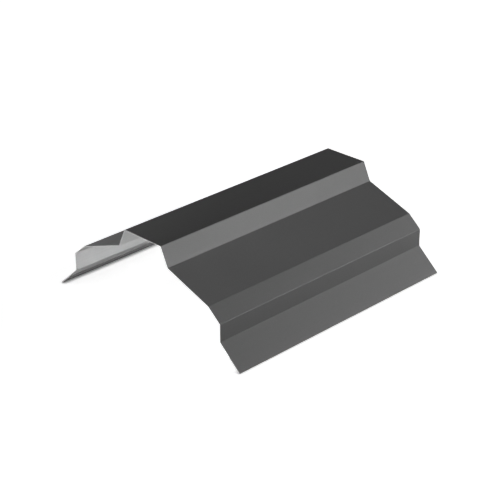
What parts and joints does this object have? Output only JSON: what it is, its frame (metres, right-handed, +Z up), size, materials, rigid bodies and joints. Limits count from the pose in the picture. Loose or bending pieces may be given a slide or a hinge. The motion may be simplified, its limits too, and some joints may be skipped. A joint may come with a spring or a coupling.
{
  "type": "roof ridge cap",
  "caption": "Trapezoidal roof ridge cap folded from coated steel sheet: flat crown, stepped sides, upright walls and hemmed flanges that lie on the roof slopes.",
  "frame": {"origin": "midway between the two hems and between the two ends, on the level that the hems stand on", "axes": "+Y along the ridge, +X across it, +Z up through the crown"},
  "size_m": [0.2776, 0.306, 0.101],
  "materials": {
    "coated_sheet": "matt dark grey coil coating outside, pale grey backing coat inside, bare zinc on the cut ends"
  },
  "bodies": {
    "root": {"ridge_cap": "coated_sheet"}
  },
  "joints": []
}
